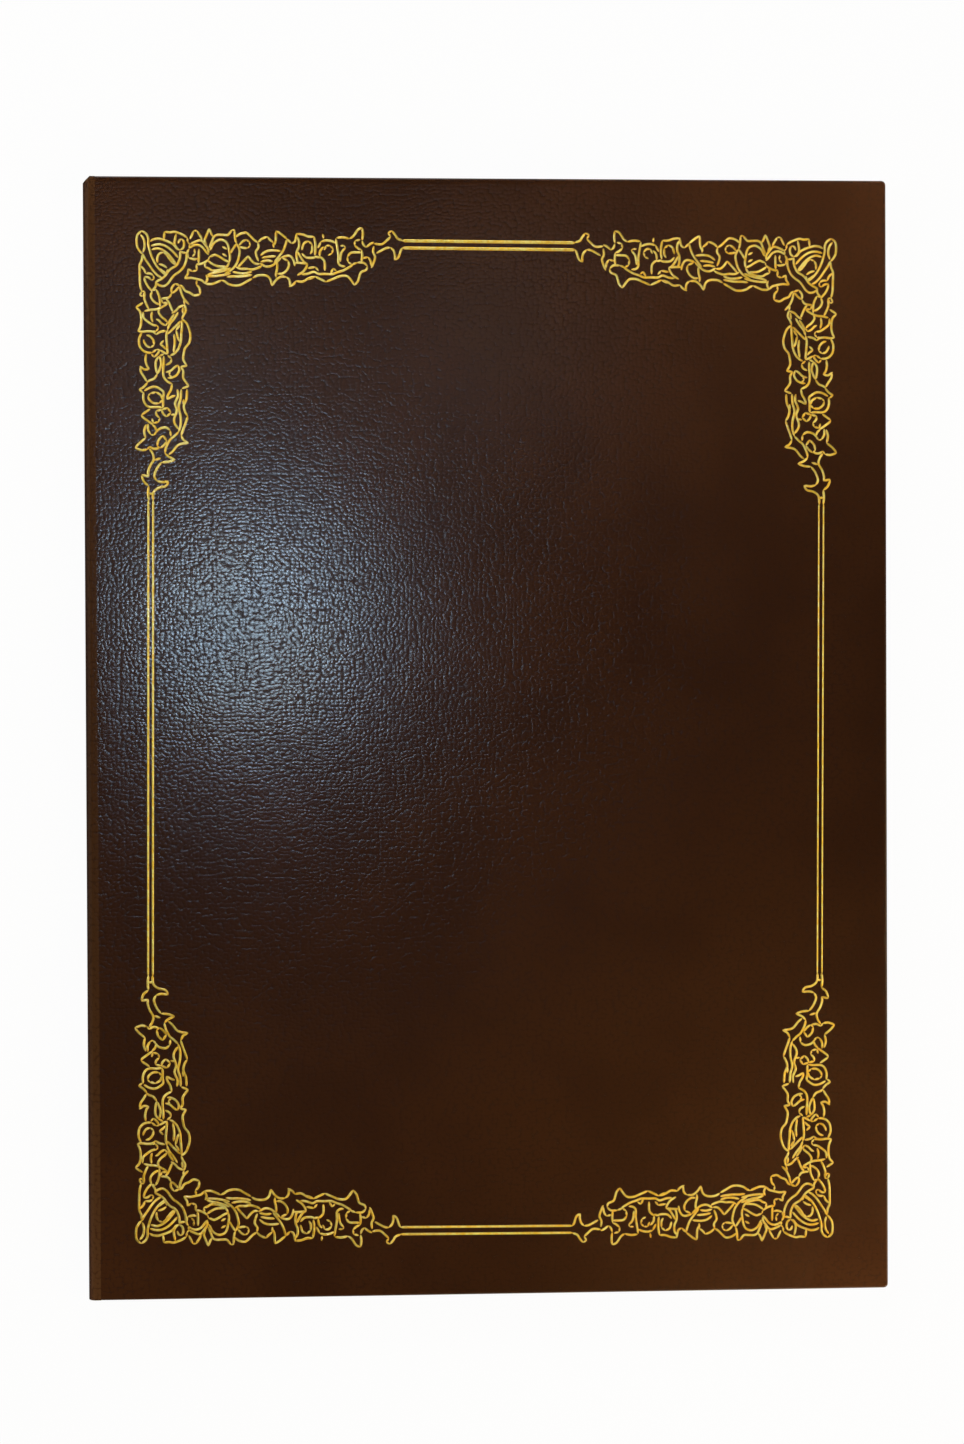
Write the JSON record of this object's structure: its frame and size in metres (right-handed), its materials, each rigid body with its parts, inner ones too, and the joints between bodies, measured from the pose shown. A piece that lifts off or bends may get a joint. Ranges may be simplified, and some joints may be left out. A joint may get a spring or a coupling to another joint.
{
  "type": "certificate holder",
  "caption": "Book-style certificate holder: leatherette-covered boards folded at a spine, gold foil border on the front, mount card with corner ribbons and a clear sheet inside.",
  "frame": {"origin": "middle of the closed holder's plan, on the surface that its back cover lies on", "axes": "+X from the spine towards the fore edge, +Y towards the head of the sheet, +Z out of the front cover"},
  "size_m": [0.223, 0.31, 0.0094],
  "materials": {
    "leatherette": "dark brown, fine pebble grain, soft sheen",
    "gold_foil": "bright yellow gold hot foil",
    "grey_board": "uncoated grey board",
    "infill_paper": "uncoated levelling paper",
    "moire_lining": "ivory moire paper",
    "satin_ribbon": "pale gold satin",
    "acetate": "clear, glossy"
  },
  "bodies": {
    "back_cover": {"back_skin": "leatherette", "back_board": "grey_board", "back_infill": "infill_paper", "back_hinge_strip": "leatherette", "mount_card": "moire_lining", "acetate_sheet": "acetate", "ribbon_head_spine": "satin_ribbon", "ribbon_head_fore": "satin_ribbon", "ribbon_tail_spine": "satin_ribbon", "ribbon_tail_fore": "satin_ribbon"},
    "spine": {"spine_skin": "leatherette", "spine_card": "grey_board", "spine_hinge_strip": "leatherette", "back_crease": "leatherette", "front_crease": "leatherette"},
    "front_cover": {"front_skin": "leatherette", "front_board": "grey_board", "front_infill": "infill_paper", "front_hinge_strip": "leatherette", "front_lining": "moire_lining", "foil_corner_head_spine": "gold_foil", "foil_corner_head_fore": "gold_foil", "foil_corner_tail_spine": "gold_foil", "foil_corner_tail_fore": "gold_foil", "foil_rule_head_outer": "gold_foil", "foil_rule_head_inner": "gold_foil", "foil_rule_tail_outer": "gold_foil", "foil_rule_tail_inner": "gold_foil", "foil_rule_spine_outer": "gold_foil", "foil_rule_spine_inner": "gold_foil", "foil_rule_fore_outer": "gold_foil", "foil_rule_fore_inner": "gold_foil"}
  },
  "joints": [
    {"name": "spine_fold", "type": "hinge", "parent": "back_cover", "child": "spine", "pos_m": [-0.11087, 0, 0.00063], "axis": [0, -1, 0], "range_deg": [0, 90], "deforming": ["back_crease"]},
    {"name": "front_fold", "type": "hinge", "parent": "spine", "child": "front_cover", "pos_m": [-0.11087, 0, 0.00867], "axis": [0, -1, 0], "range_deg": [0, 90], "deforming": ["front_crease"]}
  ]
}
